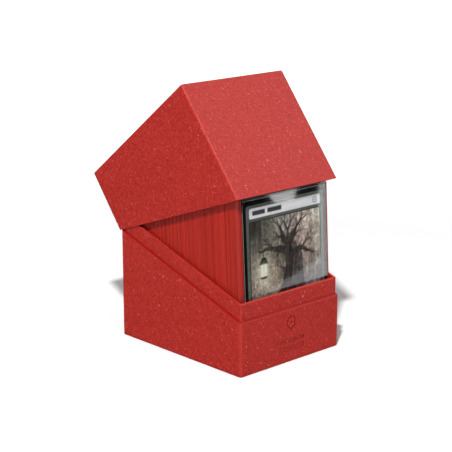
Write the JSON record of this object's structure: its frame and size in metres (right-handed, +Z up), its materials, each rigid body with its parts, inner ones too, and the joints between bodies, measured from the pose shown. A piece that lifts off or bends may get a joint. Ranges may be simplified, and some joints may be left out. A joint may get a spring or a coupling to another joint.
{
  "type": "card deck box",
  "caption": "Moulded deck box for trading cards with a slanted shoulder and a separate lid, shown tipped back over a full deck of sleeved cards.",
  "frame": {"origin": "centre of the flat underside of the base, on the surface it stands on", "axes": "+Z up, +X to the right along the front face, the front face looks along -Y and the lid tips back towards +Y"},
  "size_m": [0.076, 0.1226, 0.1513],
  "materials": {
    "case": "matte",
    "sleeved_cards": "satin",
    "clear_sleeve": "gloss",
    "printed_card": "satin"
  },
  "bodies": {
    "base": {"base_box": "case"},
    "deck": {"front_outer_sleeve": "clear_sleeve", "front_inner_sleeve": "clear_sleeve", "front_card": "printed_card", "deck_packet_01": "sleeved_cards", "deck_packet_02": "sleeved_cards", "deck_packet_03": "sleeved_cards", "deck_packet_04": "sleeved_cards", "deck_packet_05": "sleeved_cards", "deck_packet_06": "sleeved_cards", "deck_packet_07": "sleeved_cards", "deck_packet_08": "sleeved_cards", "deck_packet_09": "sleeved_cards", "deck_packet_10": "sleeved_cards", "deck_packet_11": "sleeved_cards", "deck_packet_12": "sleeved_cards", "deck_packet_13": "sleeved_cards", "deck_packet_14": "sleeved_cards", "deck_packet_15": "sleeved_cards", "deck_packet_16": "sleeved_cards", "deck_packet_17": "sleeved_cards", "deck_packet_18": "sleeved_cards", "deck_packet_19": "sleeved_cards", "deck_packet_20": "sleeved_cards", "deck_packet_21": "sleeved_cards", "deck_packet_22": "sleeved_cards", "deck_packet_23": "sleeved_cards", "deck_packet_24": "sleeved_cards", "deck_packet_25": "sleeved_cards", "deck_packet_26": "sleeved_cards", "deck_packet_27": "sleeved_cards", "deck_packet_28": "sleeved_cards", "deck_packet_29": "sleeved_cards", "deck_packet_30": "sleeved_cards", "deck_packet_31": "sleeved_cards", "deck_packet_32": "sleeved_cards", "deck_packet_33": "sleeved_cards", "deck_packet_34": "sleeved_cards", "deck_packet_35": "sleeved_cards", "deck_packet_36": "sleeved_cards", "deck_packet_37": "sleeved_cards", "deck_packet_38": "sleeved_cards", "deck_packet_39": "sleeved_cards", "deck_packet_40": "sleeved_cards", "deck_packet_41": "sleeved_cards", "deck_packet_42": "sleeved_cards", "deck_packet_43": "sleeved_cards"},
    "lid": {"lid_cap": "case"}
  },
  "joints": [
    {"name": "deck_lift", "type": "slide", "parent": "base", "child": "deck", "axis": [0, 0, 1], "range_m": [0, 0.09]},
    {"name": "lid_tip", "type": "hinge", "parent": "deck", "child": "lid", "pos_m": [0, 0.0481, 0.0597], "axis": [-1, 0, 0], "range_deg": [-38.08, 37]}
  ]
}
